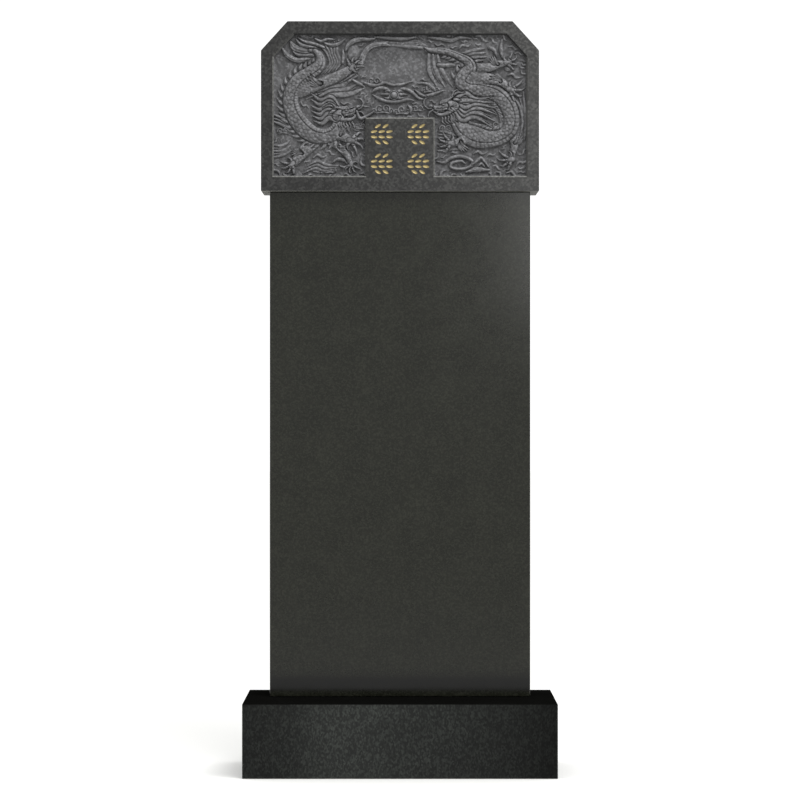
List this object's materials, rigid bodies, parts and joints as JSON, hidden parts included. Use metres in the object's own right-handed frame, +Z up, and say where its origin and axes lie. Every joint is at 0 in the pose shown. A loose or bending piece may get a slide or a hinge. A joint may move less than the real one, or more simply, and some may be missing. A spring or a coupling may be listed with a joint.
{
  "type": "headstone",
  "caption": "Upright granite headstone: a rough base block, a polished slab and a cap stone with sloping corners and dragons in low relief.",
  "frame": {"origin": "middle of the base block's underside, on the ground", "axes": "+Z up, +X to the right as seen from the front, -Y out of the carved front"},
  "size_m": [0.71, 0.35, 1.7226],
  "materials": {
    "rough_granite": "pitted faces, honed top",
    "polished_granite": "polished",
    "carved_granite": "matte carved field, polished frame"
  },
  "bodies": {
    "root": {"base": "rough_granite", "slab": "polished_granite", "cap": "carved_granite"}
  },
  "joints": []
}
